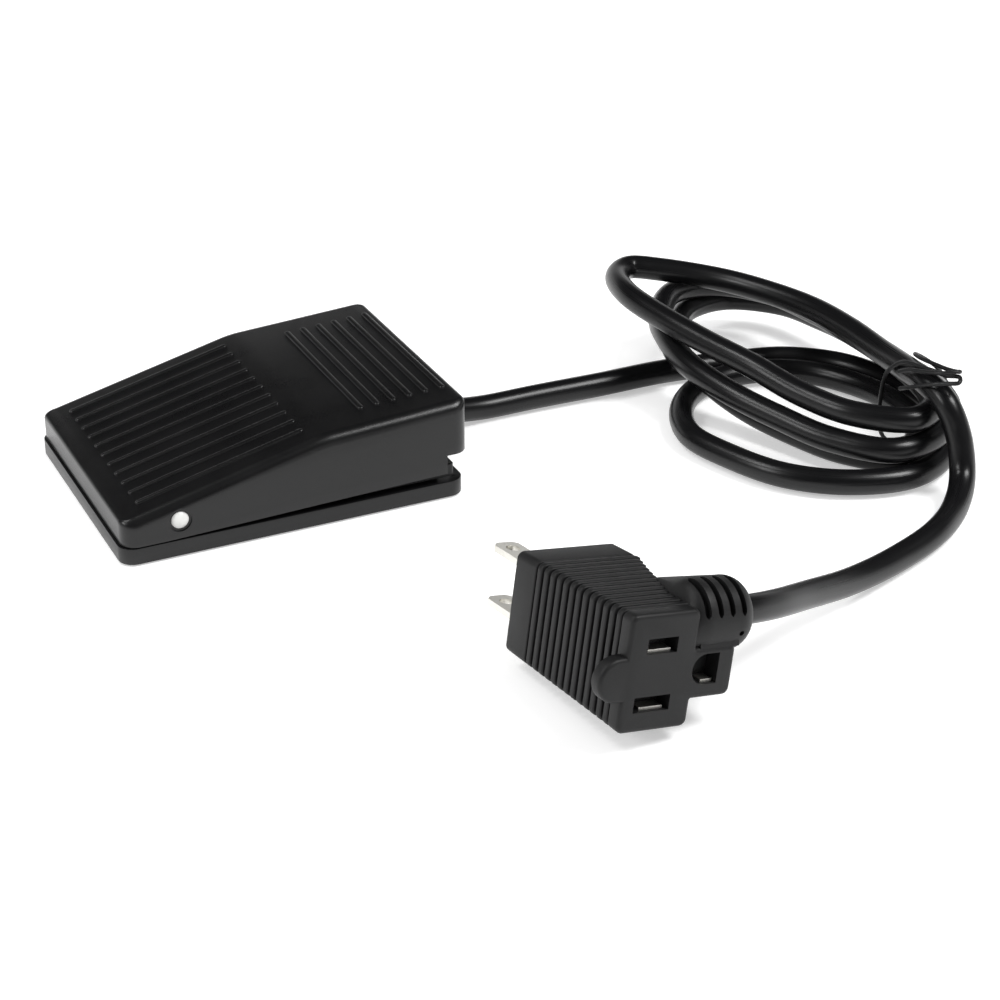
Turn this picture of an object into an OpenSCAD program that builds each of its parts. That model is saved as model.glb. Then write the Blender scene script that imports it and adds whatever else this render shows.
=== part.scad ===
// Foot switch with a hinged tread, a tied cord and a stacking plug.
// +X is the right-hand side, +Y the cord end, +Z up; the origin is the centre of the footprint on the floor.

/* [Housing] */
// Width of the housing
pedal_w = 70; // [64:1:80]
// Length of the housing
pedal_l = 89.7; // [86:0.1:100]
// Radius of the footprint's corners
corner_r = 4; // [3.5:0.25:6]
// How far the cover's front wall is set back from the base plate's front edge
cover_set = 0.6; // [0.3:0.1:1]
// How far the cover's rear wall stands out over the base plate
cover_over = 1.1; // [0.6:0.1:1.4]
// Thickness of the base plate
base_t = 4.1; // [3.8:0.1:4.8]
// Wall of the cover
wall = 2.2; // [1.8:0.1:2.6]
// Radius of the cover's top edges
edge_r = 3; // [2.8:0.1:3.8]
// Radius of the cover's front top edge
nose_r = 0.8; // [0.6:0.1:2]
// Height of the slope above the base plate, just behind its front edge
front_h = 7.2; // [7:0.1:8.4]
// Height of the crease between slope and rear top above the base plate
crease_h = 19.1; // [18.7:0.1:22]
// Height of the rear edge above the base plate
rear_h = 21.1; // [20.7:0.1:25]
// Distance of the crease behind the front edge
crease_y = 51.7; // [48:0.1:54]
// Depth of the open band under the rear wall, above the base plate
rear_gap_h = 7.3; // [6.5:0.1:8]
// Angle of the open wedge under the side walls
wedge_a = 1.63; // [1.4:0.01:2]
// Height of the low rim that stands inside the cover
rim_h = 3.2; // [2:0.1:3.6]
// Thickness of the low rim
rim_t = 1.6; // [1.2:0.1:2]

/* [Hinge] */
// Distance of the hinge pin behind the front edge
pivot_y = 14.7; // [14:0.1:16]
// Height of the hinge pin above the base plate
pivot_h = 5.1; // [4.8:0.1:5.4]
// Diameter of the hinge pin
pin_d = 4.3; // [3.6:0.1:4.6]
// How far each end of the pin stands proud of the cover
pin_proud = 0.6; // [0.3:0.1:1]
// Height of the ears' open top above the middle of the pin
ear_top = 1.2; // [0.8:0.1:1.2]
// Thickness of the base plate's two ears
ear_t = 3; // [2.4:0.1:4]
// Travel of the tread
press_a = 1.6; // [1.2:0.05:1.6]

/* [Tread ribs] */
// Number of ribs along the slope
slope_ribs = 11; // [7:1:11]
// Spacing of the ribs along the slope
slope_pitch = 5.5; // [4.5:0.1:5.6]
// Width of a rib along the slope
slope_rib_w = 1.5; // [1:0.1:2.2]
// Length of a rib along the slope
slope_rib_l = 44; // [38:0.5:44]
// Number of ribs across the rear top
rear_ribs = 6; // [3:1:6]
// Spacing of the ribs across the rear top
rear_pitch = 4.35; // [3.6:0.05:4.4]
// Width of a rib across the rear top
rear_rib_w = 1.6; // [1:0.1:2.2]
// Length of a rib across the rear top
rear_rib_l = 51.4; // [40:0.2:54]
// Height of every rib
rib_h = 0.5; // [0.3:0.05:0.7]

/* [Feet and bumpers] */
// Diameter of a rubber foot
foot_d = 9; // [7:0.5:11]
// Thickness of a rubber foot
foot_t = 1.6; // [1.2:0.1:2]
// How far a foot stands out below the base plate
foot_proud = 0.3; // [0.2:0.1:0.6]
// Distance of the feet from the housing's sides
foot_inset = 8; // [7.5:0.5:11]
// Diameter of a rubber bumper and its post
bumper_d = 8; // [6:0.5:9]
// Thickness of a rubber bumper
bumper_t = 1.6; // [1:0.1:2.5]
// Distance of the bumper posts from the housing's rear
bumper_rear = 11.7; // [10:0.1:13]
// Distance of the bumper posts from the middle
bumper_x = 22; // [20:0.5:24]

/* [Switch and spring] */
// Distance of the switch's front side from the housing's rear
switch_rear = 35.7; // [34:0.1:37]
// Distance of each switch screw from the switch's own end
switch_edge = 2.8; // [2.4:0.1:4]
// Thickness of the switch body
switch_t = 10.3; // [9:0.1:10.5]
// Height of the switch body
switch_h = 15.9; // [14:0.1:15.9]
// Depth of the pocket the switch stands in
switch_sink = 1.8; // [1.6:0.1:2]
// Diameter of the switch plunger
plunger_d = 4; // [3:0.1:5]
// How far the plunger stands out of the switch
plunger_proud = 1.3; // [1.2:0.1:1.5]
// Spacing of the switch screws
switch_screw_pitch = 22.2; // [20:0.1:23]
// Diameter of every screw
screw_d = 3; // [2.5:0.1:3.2]
// Wire diameter of the return spring
spring_wire = 0.9; // [0.6:0.1:1.1]
// Mean diameter of the return spring
spring_d = 8; // [7:0.1:8.4]
// Distance of the return spring from the front edge
spring_front = 40; // [38:0.5:41]
// Number of turns in the return spring
spring_turns = 6; // [4:1:7]

/* [Cord and plug] */
// Distance of the cord clamp's front side from the housing's rear
clamp_rear = 16.7; // [15:0.1:17]
// Length of the cord clamp along the cord
clamp_l = 7; // [5:0.5:8]
// Width of the cord clamp
clamp_w = 26; // [24:0.5:30]
// Distance of the clamp screws from the middle
clamp_x = 9; // [8:0.1:10]
// Diameter of the cord
cord_d = 6.5; // [6:0.1:6.8]
// Height of the cord where it leaves the housing
exit_h = 2.1; // [2:0.1:2.6]
// Length of the tapered sleeve outside the housing
sleeve_l = 5; // [4.6:0.1:5.6]
// Diameter of the sleeve at the housing
sleeve_d = 10.4; // [9.6:0.1:10.8]
// Diameter of a core wire
core_d = 2.2; // [1.6:0.1:2.6]
// Length of the plug body, from receptacle face to blade face
plug_l = 44; // [40:0.5:45]
// Height of the plug's receptacle face
plug_h = 26; // [25:0.5:28]
// Height of the plug's blade face
plug_back_h = 23.2; // [21:0.2:24]
// Width of the plug's main section
plug_w = 17.7; // [17:0.1:18.6]
// Width of the ground side's block
ground_w = 10; // [9.4:0.1:11]
// Number of grip ribs on the plug
grip_ribs = 13; // [9:1:13]
// Width of a groove between two grip ribs
grip_gap = 0.8; // [0.6:0.1:1]
// Depth of the grooves
grip_deep = 0.9; // [0.6:0.1:1.2]
// Length of the plain band behind the receptacle face
face_band = 3.8; // [3.4:0.1:5]
// Length of the plain band before the blade face
blade_band = 8; // [6:0.1:9]
// Radius of the round ear beside the receptacle face
ear_r = 4.9; // [4.5:0.1:5.4]
// Thickness of the ear
ear_h = 3.2; // [2.6:0.1:4]
// Length of a blade
blade_l = 18; // [15.9:0.1:18.3]
// Width of a blade
blade_w = 6.3; // [6:0.1:6.5]
// Thickness of a blade
blade_t = 1.5; // [1.4:0.05:1.6]
// Spacing of the two blades
blade_pitch = 12.7; // [12.5:0.1:12.9]
// Distance of the ground pin from the blades
ground_x = 11.9; // [11.7:0.1:12.1]
// Diameter of the ground pin
ground_d = 4.8; // [4.6:0.05:4.9]
// Length of the ground pin
ground_l = 20.6; // [19:0.1:21]
// Diameter of the plug's strain relief
relief_d = 16; // [15.4:0.1:16.4]
// Length of the plug's strain relief beyond the body
relief_l = 5.8; // [5.4:0.1:7]
// Wire diameter of the cord tie
tie_d = 1.1; // [0.8:0.1:1.1]

/* [Hidden] */
$fn = 48;

// Clearances
run_c = 0.05;      // running fit, radial
gap_c = 0.3;       // between bodies that move past each other
seam_c = 0.35;     // between cover and base plate at the front
rim_c = 0.8;       // between cover wall and rim

// Heights and places of the housing
base_top = foot_proud + base_t;
front_y = -pedal_l/2;
base_back = -front_y - cover_over;
cover_front = front_y + cover_set;
cover_low = base_top + seam_c;
pin_y = front_y + pivot_y;
pin_z = base_top + pivot_h;
exit_z = base_top + exit_h;
front_top = [cover_front + edge_r, base_top + front_h - edge_r];
crease_top = [front_y + crease_y, base_top + crease_h - edge_r];
rear_top = [-front_y - edge_r, base_top + rear_h - edge_r];
slope_a = atan2(crease_top[1] - front_top[1], crease_top[0] - front_top[0]);
rear_a = atan2(rear_top[1] - crease_top[1], rear_top[0] - crease_top[0]);
inner_r = max(edge_r - wall, 0.5);
// Height of the roof's inside and the drop of the tread at full travel, at a given y
function roof_z(y) = crease_top[1] + (y - crease_top[0])*tan(y < crease_top[0] ? slope_a : rear_a)
    + inner_r/cos(y < crease_top[0] ? slope_a : rear_a);
nose_y = cover_front + nose_r;
nose_z = front_top[1] + (nose_y - front_top[0])*tan(slope_a) + (edge_r - nose_r)/cos(slope_a) - 0.03;
function drop(y) = (y - pin_y)*sin(press_a);

// Inner parts
wall_in = pedal_w/2 - wall;
rim_out = wall + rim_c;
ear_x = wall_in - 0.5 - ear_t;
switch_l = switch_screw_pitch + 2*switch_edge;
switch_y = -front_y - switch_rear;
switch_top = base_top - switch_sink + switch_h;
plunger_y = switch_y + switch_t/2;
plunger_top = switch_top + plunger_proud;
plunger_sink = 4;
plunger_under = 1.8;
stay_t = 1.8;
nut_h = 2.2;
crimp_w = 6;
crimp_h = 2.4;
crimp_wall = 0.5;
far = 2*pedal_l;
screw_z = base_top + 3;
head_h = 1.8;
spring_y = front_y + spring_front;
spring_top = roof_z(spring_y) - 4.6;
bumper_y = -front_y - bumper_rear;
pad_top = roof_z(bumper_y - bumper_d/2) - drop(bumper_y + bumper_d/2) - gap_c;
clamp_y = -front_y - clamp_rear;
clamp_top = exit_z + cord_d/2 + 2.2;
gland_y = -front_y - 4.6;
gland_r = sleeve_d/2 + 1.2;
neck_r = sleeve_d/2 - 0.6;
flange_h = 0.5;
core_y = clamp_y - 3.6;
core_x = 1.6;
tab_l = 6.5;
tab_w = 4.8;
tab_t = 0.8;
tab_z = base_top + 6.6;
tab_step = 5;
screw_past = 3;
wire_bend = [[2.6, 1.4, 0.8], [5.2, 2, 3], [8.4, 2, 5.2], [13, 1.8, 6]];
wire_end = [[18.5, 1.6, 1], [24, 2.2, 0], [27.4, 5, 0]];
wire_out = 26.6;

// The cord's route, from the sleeve to the plug
route = [
    [0, -front_y + sleeve_l, exit_z], [-1, 57, 4.8], [-2, 66, 3.5], [-2, 81, 3.5], [-1.5, 100, 3.5],
    [-1.5, 120, 3.5], [1, 138, 3.5],
    [5, 154, 3.5],
    [15, 166, 3.5], [30, 172, 3.7], [46, 173, 4.5], [61, 170, 5], [74, 159, 3.5], [80, 145, 3.5],
    [76, 129, 3.5],
    [66, 117, 3.5], [51, 110, 3.5], [36, 107, 3.5], [21, 113, 3.5], [11, 125, 3.5], [9, 141, 3.5],
    [16, 155, 3.5],
    [30, 163, 3.7], [46, 164, 4.8],
    [61, 160, 5.5], [71, 149, 3.5], [62, 138, 3.5], [47, 131, 4], [32, 125, 6], [18, 120, 10.5], [2, 121, 11],
    [-12, 129, 10], [-24, 140, 9.5], [-28, 155, 8.5], [-18, 167, 8.5], [-3, 171, 9], [13, 172, 10],
    [45, 170, 10.6], [61, 165, 10.8],
    [74, 157, 10.5], [77, 142, 10], [65, 131, 10], [51, 124, 11.5], [36, 118, 13.5], [20, 115, 15.5],
    [4, 117, 17],
    [-10, 123, 16.7], [-22, 134, 16.6], [-24, 149, 15.5], [-13, 160, 15], [3, 163, 15.5], [19, 164, 16],
    [51, 164, 16.5], [67, 161, 17.5],
    [76, 148, 17], [67, 136, 17], [53, 129, 18], [38, 123, 21], [23, 118, 22.5], [8, 114, 24], [-8, 112, 25],
    [-24, 117, 23.9], [-28, 123, 23.8], [-23.5, 130, 23.6], [-11, 143, 22.8], [1, 150, 22.5], [16, 155, 22.5],
    [32, 156.5, 22.5], [48, 156, 22.5], [64, 154, 24], [73, 152.5, 25], [81, 153, 22.5],
    [86, 154, 15.5], [91, 152.5, 7], [98, 146, 3.7], [107, 134, 3.5], [114, 118, 3.5], [121, 101, 5.5],
    [130, 83, 11], [138.9, 67.6, 16.9], [142.5, 57.9, 20]];
cord_sides = 10;

// The tie's route round the crossing strands, with a twisted tail
tie_route = [
    [69, 147.5, 22.5], [73, 147.6, 24.5], [78, 149, 27], [82.5, 152, 28.6], [84.3, 153.8, 29.2],
    [82.5, 155.2, 29.7],
    [79, 153.8, 28.9], [76, 152.6, 29.1], [71, 151.6, 28.6], [65, 150.9, 27.5], [61.5, 150.5, 25],
    [58.6, 150.4, 21.5], [57, 150.5, 14], [56.8, 151, 6], [56.8, 153.5, 1.6], [56.8, 158, 0.7],
    [56.8, 168, 0.7],
    [57, 173, 0.9], [57.2, 175.8, 4.5], [57.5, 174.6, 9], [58, 170.5, 14.5], [58.6, 166.5, 20],
    [59.3, 161, 24.4], [60.6, 157.4, 26.7], [65.6, 155.6, 27.9], [72, 155.8, 28.6], [77, 156.2, 29.2],
    [80.2, 156.6, 29.9], [82, 155.2, 31], [80.4, 151.8, 30.6], [76, 149.8, 29.5], [70.5, 148.8, 28],
    [67, 148.3, 26.2]];

// The plug's own frame: +X to the cord, +Y to the blades, +Z up, from midway between the receptacle's slots
plug_turn = [-5.4, 11.3, 95.1];
relief_u = 7.7;
relief_v = 8.5;
plug_left = -plug_w/2 - 0.3;
plug_right = plug_left + plug_w;
block_right = plug_right + ground_w;
relief_end = block_right + relief_l;
block_low = -7;
neck_x = plug_right - 0.3;
waist_v = 4.2;
waist = [[neck_x, 4.8], [12, 21.3], [16.8, 34.6]];
ground_hole = 3.4;
grip_pitch = (plug_l - face_band - blade_band)/grip_ribs;
slot_first = 9.5;
slot_step = 3.1;
slot_w = 1.4;
slot_depth = 10;
slot_h = 3.4;
pin_x = -0.7;
pin_v = -0.45;
ear_out = 1.2;
ear_v = -1.1;
contact_t = 0.6;

function unit(v) = v/norm(v);
function turn_x(a, v) = [v[0], v[1]*cos(a) - v[2]*sin(a), v[1]*sin(a) + v[2]*cos(a)];
function turn_y(a, v) = [v[0]*cos(a) + v[2]*sin(a), v[1], v[2]*cos(a) - v[0]*sin(a)];
function turn_z(a, v) = [v[0]*cos(a) - v[1]*sin(a), v[0]*sin(a) + v[1]*cos(a), v[2]];
function plug_dir(v) = turn_z(plug_turn[2], turn_y(plug_turn[1], turn_x(plug_turn[0], v)));
plug_at = route[len(route) - 1] - plug_dir([relief_end, relief_u, relief_v]);

// A round tube swept along a list of points, with given directions at its two ends
function heading(p, i, first, last) = i == 0 ? first : i == len(p) - 1 ? last
    : unit(unit(p[i + 1] - p[i]) + unit(p[i] - p[i - 1]));
function ring(c, t, r, n, ref) = let (s = unit(cross(t, ref)), u = cross(s, t))
    [for (k = [0:n - 1]) c + r*(cos(360*k/n)*s + sin(360*k/n)*u)];

module tube(p, d, n, first, last, ref = [0, 0, 1]) {
    rings = [for (i = [0:len(p) - 1]) each ring(p[i], heading(p, i, first, last), d/2, n, ref)];
    sides = [for (i = [0:len(p) - 2]) for (k = [0:n - 1])
        let (a = i*n + k, b = i*n + (k + 1)%n) each [[a, b, b + n], [a, b + n, a + n]]];
    caps = [[for (k = [n - 1:-1:0]) k], [for (k = [0:n - 1]) (len(p) - 1)*n + k]];
    polyhedron(points = rings, faces = concat(sides, caps), convexity = 10);
}

// A slab with round corners between two ends, drawn in by an inset
module slab(inset, z, h, y0, y1) {
    w = pedal_w - 2*inset;
    l = y1 - y0 - 2*inset;
    r = max(corner_r - inset, 0.8);
    translate([-w/2 + r, y0 + inset, z]) cube([w - 2*r, l, h]);
    translate([-w/2, y0 + inset + r, z]) cube([w, l - 2*r, h]);
    for (x = [-w/2 + r, w/2 - r], y = [y0 + inset + r, y1 - inset - r])
        translate([x, y, z]) cylinder(r = r, h = h);
}

// A cylinder along +Y
module rod_y(r, y0, y1) translate([0, y0, 0]) rotate([-90, 0, 0]) cylinder(r = r, h = y1 - y0);

// The cover's outer form, drawn in by an even inset; only the outside has the sharper nose
module cover_form(inset) {
    r = max(corner_r - inset, 0.8);
    e = max(edge_r - inset, 0.5);
    x = pedal_w/2 - inset - r;
    hull() {
        for (s = [-1, 1]) {
            translate([s*x, cover_front + inset + r, 0]) cylinder(r = r, h = front_top[1], $fn = 32);
            translate([s*x, -front_y - inset - r, 0]) cylinder(r = r, h = rear_top[1] - 1, $fn = 32);
            for (p = [front_top, crease_top, rear_top])
                translate([s*(pedal_w/2 - edge_r), p[0], p[1]]) sphere(r = e, $fn = 32);
        }
        if (inset == 0) translate([0, nose_y, nose_z]) rotate([0, 90, 0])
            cylinder(r = nose_r, h = 2*x, center = true, $fn = 32);
    }
}

// What the cover leaves open below: the wedge at the sides and the band at the rear
module cover_cut() {
    wedge_y = pin_y - 3.6;
    step_y = -front_y - 6.1;
    translate([-pedal_w, 0, 0]) rotate([90, 0, 90]) linear_extrude(2*pedal_w)
        polygon([[front_y - 1, -1], [front_y - 1, cover_low], [wedge_y, cover_low],
            [step_y, cover_low + (step_y - wedge_y)*tan(wedge_a)],
            [step_y, base_top + rear_gap_h], [-front_y + 1, base_top + rear_gap_h], [-front_y + 1, -1]]);
}

// A rib with round ends, laid along +X on z = 0, its foot sunk into the wall
module rib(l, w) {
    sink = 1;
    translate([0, 0, -sink]) {
        translate([-l/2 + w/2, -w/2, 0]) cube([l - w, w, sink + rib_h]);
        for (s = [-1, 1]) translate([s*(l - w)/2, 0, 0]) cylinder(d = w, h = sink + rib_h, $fn = 24);
    }
}

module pedal_cover() {
    surface_z = edge_r;
    mid = (front_top + crease_top)/2;
    color("#1b1b1d") {
        difference() {
            union() {
                difference() {
                    cover_form(0);
                    cover_form(wall);
                }
                intersection() {
                    cover_form(wall/2);
                    union() {
                        translate([0, spring_y, spring_top]) cylinder(r = spring_d/2 + 2, h = far);
                        translate([0, spring_y, spring_top - 3])
                            cylinder(d = spring_d - spring_wire - 0.8, h = far);
                        translate([0, plunger_y, roof_z(plunger_y) - 1.2]) cylinder(d = screw_d + 4, h = far);
                    }
                }
            }
            cover_cut();
            translate([-pedal_w, pin_y, pin_z]) rotate([0, 90, 0])
                cylinder(d = pin_d + 2*run_c, h = 2*pedal_w);
            for (s = [-1, 1]) translate([s*pedal_w/2, pin_y, pin_z]) rotate([0, 90, 0])
                cylinder(d = pin_d + 1.2, h = 1, center = true);
            translate([0, plunger_y, 0]) cylinder(d = screw_d, h = roof_z(plunger_y) + 1.2);
            translate([0, -front_y, exit_z + drop(-front_y)]) rotate([90, 0, 0])
                cylinder(r = gland_r + gap_c + 0.3, h = 3*wall, center = true);
        }
        for (i = [0:slope_ribs - 1])
            translate([(i - (slope_ribs - 1)/2)*slope_pitch, mid[0], mid[1]]) rotate([slope_a, 0, 0])
                translate([0, 0, surface_z]) rotate([0, 0, 90]) rib(slope_rib_l, slope_rib_w);
        for (i = [0:rear_ribs - 1])
            translate([0, rear_top[0], rear_top[1]]) rotate([rear_a, 0, 0])
                translate([0, -i*rear_pitch, surface_z]) rib(rear_rib_l, rear_rib_w);
    }
}

// Set screw in the cover that pushes the plunger
module press_screw() color("#b9bcc0")
    translate([0, plunger_y, plunger_top + gap_c])
        cylinder(d = screw_d, h = roof_z(plunger_y) + 1 - plunger_top - gap_c);

module at_feet()
    for (x = [-1, 1], y = [front_y + foot_inset, base_back - foot_inset])
        translate([x*(pedal_w/2 - foot_inset), y, 0]) children();

module base_plate() {
    ear_r = pin_d/2 + 1.4;
    color("#242426") {
        difference() {
            union() {
                slab(0, foot_proud, base_t, front_y, base_back);
                difference() {
                    slab(rim_out, base_top - 0.5, rim_h + 0.5, cover_front, -front_y);
                    slab(rim_out + rim_t, base_top - 1, rim_h + 2, cover_front, -front_y);
                }
                for (s = [-1, 1]) translate([s*(ear_x + ear_t/2), pin_y, 0]) {
                    translate([0, 0, pin_z]) rotate([0, 90, 0]) cylinder(r = ear_r, h = ear_t, center = true);
                    translate([-ear_t/2, -ear_r, base_top - 0.5]) cube([ear_t, 2*ear_r, pivot_h + 0.5]);
                }
                for (s = [-1, 1]) translate([s*bumper_x, bumper_y, base_top - 0.5])
                    cylinder(d = bumper_d, h = pad_top - bumper_t - base_top + 0.5);
                translate([0, spring_y, base_top - 0.5]) cylinder(r = spring_d/2 + 2.2, h = 3);
                translate([-switch_l/2 - 1, switch_y + switch_t, base_top - 0.5])
                    cube([switch_l + 2, stay_t, switch_h - 4]);
                translate([-clamp_w/2, clamp_y, base_top - 0.5]) cube([clamp_w, clamp_l, exit_h + 0.3]);
                translate([0, 0, exit_z]) rod_y(gland_r, gland_y, base_back);
                translate([-gland_r, gland_y, base_top - 0.5])
                    cube([2*gland_r, base_back - gland_y, exit_h + 0.5]);
            }
            for (s = [-1, 1]) translate([s*(ear_x + ear_t/2), pin_y, pin_z]) rotate([0, 90, 0])
                cylinder(d = pin_d, h = 2*ear_t, center = true);
            translate([-pedal_w, pin_y - 2*ear_r, pin_z + ear_top]) cube([2*pedal_w, 4*ear_r, far]);
            at_feet() cylinder(d = foot_d + 0.3, h = foot_t);
            translate([-switch_l/2 - 0.1, switch_y - 0.1, base_top - switch_sink])
                cube([switch_l + 0.2, switch_t + 0.1, switch_sink + 5]);
            translate([0, spring_y, base_top]) cylinder(r = spring_d/2 + spring_wire/2 + gap_c, h = far);
            for (s = [-1, 1]) {
                translate([s*switch_screw_pitch/2, 0, screw_z])
                    rod_y(screw_d/2 + run_c, switch_y + switch_t - 1, switch_y + switch_t + stay_t + 1);
                translate([s*clamp_x, clamp_y + clamp_l/2, base_top - 2]) cylinder(d = screw_d, h = 10);
            }
            translate([0, 0, exit_z]) {
                rod_y(cord_d/2 + run_c, core_y - 1, -front_y + 1);
                rod_y(neck_r, gland_y - 3, -front_y + 1);
                rod_y(neck_r + flange_h + run_c, gland_y - 1.6 - run_c, gland_y);
                rod_y(neck_r + flange_h + run_c, base_back, -front_y + 1);
            }
            translate([-cord_d/2 - run_c, core_y - 1, exit_z])
                cube([cord_d + 2*run_c, gland_y - 5 - core_y, far]);
        }
    }
}

// The pin, pressed into the ears, with domed ends in the cover's side walls
module hinge_pin() {
    half = pedal_w/2 - 0.4;
    dome = pin_proud + 0.4;
    color("#e6e6e2") translate([0, pin_y, pin_z]) {
        rotate([0, 90, 0]) cylinder(d = pin_d, h = 2*half, center = true);
        for (s = [-1, 1]) translate([s*half, 0, 0]) rotate([0, s*90, 0]) rotate_extrude()
            intersection() {
                translate([0, dome - ((pin_d/2)^2 + dome^2)/(2*dome)])
                    circle(r = ((pin_d/2)^2 + dome^2)/(2*dome), $fn = 96);
                square([pin_d/2, dome]);
            }
    }
}

module rubber_feet() color("#111111") at_feet() cylinder(d = foot_d, h = foot_t);

module bumper_pads() color("#111111")
    for (s = [-1, 1]) translate([s*bumper_x, bumper_y, pad_top - bumper_t])
        cylinder(d = bumper_d, h = bumper_t);

module switch_body() color("#2f2f33")
    difference() {
        translate([-switch_l/2, switch_y, base_top - switch_sink]) cube([switch_l, switch_t, switch_h]);
        translate([0, plunger_y, switch_top - plunger_sink]) cylinder(d = plunger_d + 2*run_c, h = far);
        for (s = [-1, 1]) translate([s*switch_screw_pitch/2, 0, screw_z])
            rod_y(screw_d/2 + run_c, switch_y - 1, switch_y + switch_t + 1);
    }

module switch_plunger() color("#a3231c")
    translate([0, plunger_y, switch_top - plunger_sink + plunger_under])
        cylinder(d = plunger_d, h = plunger_proud + plunger_sink - plunger_under);

// Two tabs in use and one spare
module switch_terminals() color("#c9a24a")
    for (t = [[-1, 0], [1, 0], [1, tab_step]])
        translate([t[0]*(switch_l/2 + tab_l/2), plunger_y, tab_z + t[1]])
            cube([tab_l, tab_w, tab_t], center = true);

module switch_screws() color("#b9bcc0")
    for (s = [-1, 1]) translate([s*switch_screw_pitch/2, 0, screw_z]) {
        rod_y(screw_d/2, switch_y, switch_y + switch_t + stay_t + screw_past);
        rod_y(screw_d, switch_y - head_h, switch_y);
    }

module switch_nuts() color("#b9bcc0")
    for (s = [-1, 1]) translate([s*switch_screw_pitch/2, switch_y + switch_t + stay_t, screw_z])
        rotate([-90, 0, 0]) difference() {
            cylinder(d = screw_d*1.9, h = nut_h, $fn = 6);
            translate([0, 0, -1]) cylinder(d = screw_d, h = far);
        }

module return_spring() {
    steps = 12;
    low = base_top + spring_wire/2 + 0.02;
    high = spring_top - spring_wire/2 - 0.02;
    points = [for (i = [0:steps*spring_turns])
        [spring_d/2*cos(360*i/steps), spring_y + spring_d/2*sin(360*i/steps),
            low + (high - low)*i/(steps*spring_turns)]];
    color("#c4c7cb") tube(points, spring_wire, 6, [0, 1, 0], [0, 1, 0]);
}

// Saddle over the cord, inside the housing
module cord_clamp() color("#2a2a2c")
    difference() {
        translate([-clamp_w/2, clamp_y, exit_z + 0.3]) cube([clamp_w, clamp_l, clamp_top - exit_z - 0.3]);
        translate([0, 0, exit_z]) rod_y(cord_d/2 + run_c, clamp_y - 1, clamp_y + clamp_l + 1);
        for (s = [-1, 1]) translate([s*clamp_x, clamp_y + clamp_l/2, 0])
            cylinder(d = screw_d + 2*run_c, h = far);
    }

module clamp_screws() color("#b9bcc0")
    for (s = [-1, 1]) translate([s*clamp_x, clamp_y + clamp_l/2, 0]) {
        translate([0, 0, base_top - 2]) cylinder(d = screw_d, h = clamp_top - base_top + 2);
        translate([0, 0, clamp_top]) cylinder(d = 2*screw_d, h = head_h);
    }

// Tapered sleeve in the rear wall, flanged inside and out
module cord_grommet() {
    flange_r = neck_r + flange_h;
    color("#161616") translate([0, 0, exit_z]) rotate([-90, 0, 0]) rotate_extrude() polygon([
        [cord_d/2, gland_y - 1.6], [flange_r, gland_y - 1.6], [flange_r, gland_y],
        [neck_r, gland_y], [neck_r, base_back], [flange_r, base_back],
        [flange_r, -front_y + 0.8], [neck_r - 0.3, -front_y + 1.6],
        [cord_d/2 + 0.7, -front_y + sleeve_l], [cord_d/2, -front_y + sleeve_l]]);
}

// The stretch of cord inside the housing and the sleeve
module cord_inner() color("#0e0e0e")
    translate([0, 0, exit_z]) rod_y(cord_d/2, core_y, -front_y + sleeve_l);

module core_wire(s) tube([
    [s*core_x, core_y, exit_z],
    for (w = wire_bend) [s*w[0], core_y - w[1], exit_z + w[2]],
    for (w = wire_end) [s*w[0], core_y - w[1], tab_z + w[2]],
    [s*wire_out, plunger_y + 1.6, tab_z],
    [s*(switch_l/2 + tab_l + 2.6), plunger_y, tab_z]],
    core_d, 8, [0, -1, 0], [-s, 0, 0]);

module wire_live() color("#1d1d1d") core_wire(-1);
module wire_load() color("#e9e9e4") core_wire(1);

// Push-on receptacles over the two tabs in use
module crimp_terminals() color("#c9a24a")
    for (s = [-1, 1]) translate([s*(switch_l/2 + tab_l/2 + 0.6), plunger_y, tab_z]) difference() {
        cube([tab_l, crimp_w, crimp_h], center = true);
        cube([2*tab_l, crimp_w - 2*crimp_wall, tab_t + 2*run_c], center = true);
    }

module cord() color("#0e0e0e")
    tube(route, cord_d, cord_sides, [0, 1, 0], -plug_dir([1, 0, 0]));

module cord_tie() color("#1a1a1a")
    tube(tie_route, tie_d, 6, unit(tie_route[1] - tie_route[0]), [1, 0, 0.1], [0.3, 0.5, -0.2]);

module in_plug() translate(plug_at) rotate(plug_turn) children();

// Midway between the two blades, which the receptacle's slots face
module at_pins() translate([pin_x, 0, pin_v]) children();

// The plug's outline seen from the cord side, drawn in by an inset
module plug_outline(inset) polygon([
    [0, -plug_h/2 + inset], [0, plug_h/2 - inset],
    [plug_l, plug_back_h/2 - inset], [plug_l, -plug_back_h/2 + inset]]);

module plug_block(inset) {
    difference() {
        translate([plug_left + inset, 0, 0]) rotate([90, 0, 90])
            linear_extrude(block_right - plug_left - inset) plug_outline(inset);
        translate([plug_right, -1, -plug_h]) cube([ground_w + 1, plug_l + 2, plug_h + block_low]);
    }
}

// Over the ground block the top is cut back along a slant, from the neck to the blade end
module plug_form(inset) difference() {
    plug_block(inset);
    translate([0, 0, waist_v - inset]) linear_extrude(plug_h) polygon([[neck_x - inset, -1],
        [neck_x - inset, waist[0][1]], waist[1] - [inset, 0], waist[2] - [inset, 0],
        [waist[2][0] - inset, plug_l + 1], [block_right + 1, plug_l + 1], [block_right + 1, -1]]);
}

module grip_slabs() {
    translate([-far/2, 0, -far/2]) cube([far, face_band, far]);
    for (i = [0:grip_ribs - 1]) translate([-far/2, face_band + grip_gap/2 + i*grip_pitch, -far/2])
        cube([far, grip_pitch - grip_gap, far]);
    translate([-far/2, plug_l - blade_band, -far/2]) cube([far, blade_band, far]);
}

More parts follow.
